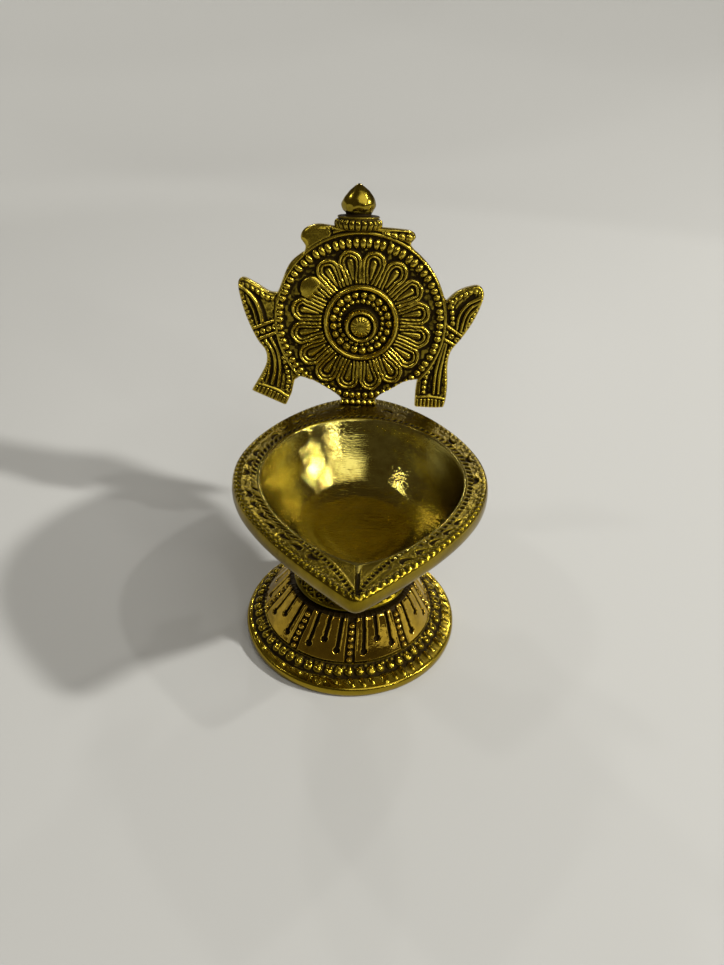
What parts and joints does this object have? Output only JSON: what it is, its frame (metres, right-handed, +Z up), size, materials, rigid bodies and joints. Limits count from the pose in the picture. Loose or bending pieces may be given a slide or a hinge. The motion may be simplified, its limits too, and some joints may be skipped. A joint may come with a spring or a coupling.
{
  "type": "oil lamp",
  "caption": "Cast brass oil lamp: round flared foot, leaf-shaped bowl with a pointed spout, and an upright back plate shaped as a wheel between ribbons with a bud on top.",
  "frame": {"origin": "on the table, under the middle of the lamp's bounding box; the foot's axis is 5.2 mm from it towards the spout", "axes": "+Z up, the bowl's spout points along -Y, the back plate stands at +Y and faces -Y, X runs across the wheel"},
  "size_m": [0.0647, 0.0929, 0.1004],
  "materials": {
    "foot_brass": "worn cast brass, dark patina in the recesses, polished panels and edge",
    "collar_brass": "cast brass with dark patina in the pattern",
    "bowl_brass": "polished and finely scratched inside, punched and darkened rim",
    "plate_brass": "cast brass, dark patina in the relief",
    "finial_brass": "worn polished cast brass",
    "stud_brass": "cut thread",
    "washer_brass": "plain",
    "nut_brass": "plain"
  },
  "bodies": {
    "foot": {"foot": "foot_brass"},
    "collar": {"waist_collar": "collar_brass"},
    "bowl": {"bowl": "bowl_brass", "back_plate": "plate_brass", "finial": "finial_brass", "bowl_stud": "stud_brass", "tang_washer": "washer_brass", "tang_nut": "nut_brass"}
  },
  "joints": [
    {"name": "collar_lift", "type": "slide", "parent": "foot", "child": "collar", "axis": [0, 0, 1], "range_m": [0, 0.0061]},
    {"name": "bowl_unscrew", "type": "hinge", "parent": "collar", "child": "bowl", "pos_m": [0, -0.0052, 0.0155], "axis": [0, 0, 1], "range_deg": [0, 1440]}
  ],
  "couplings": [
    {"joint": "collar_lift", "follows": "bowl_unscrew", "m_per_rad": 0.00023873}
  ]
}
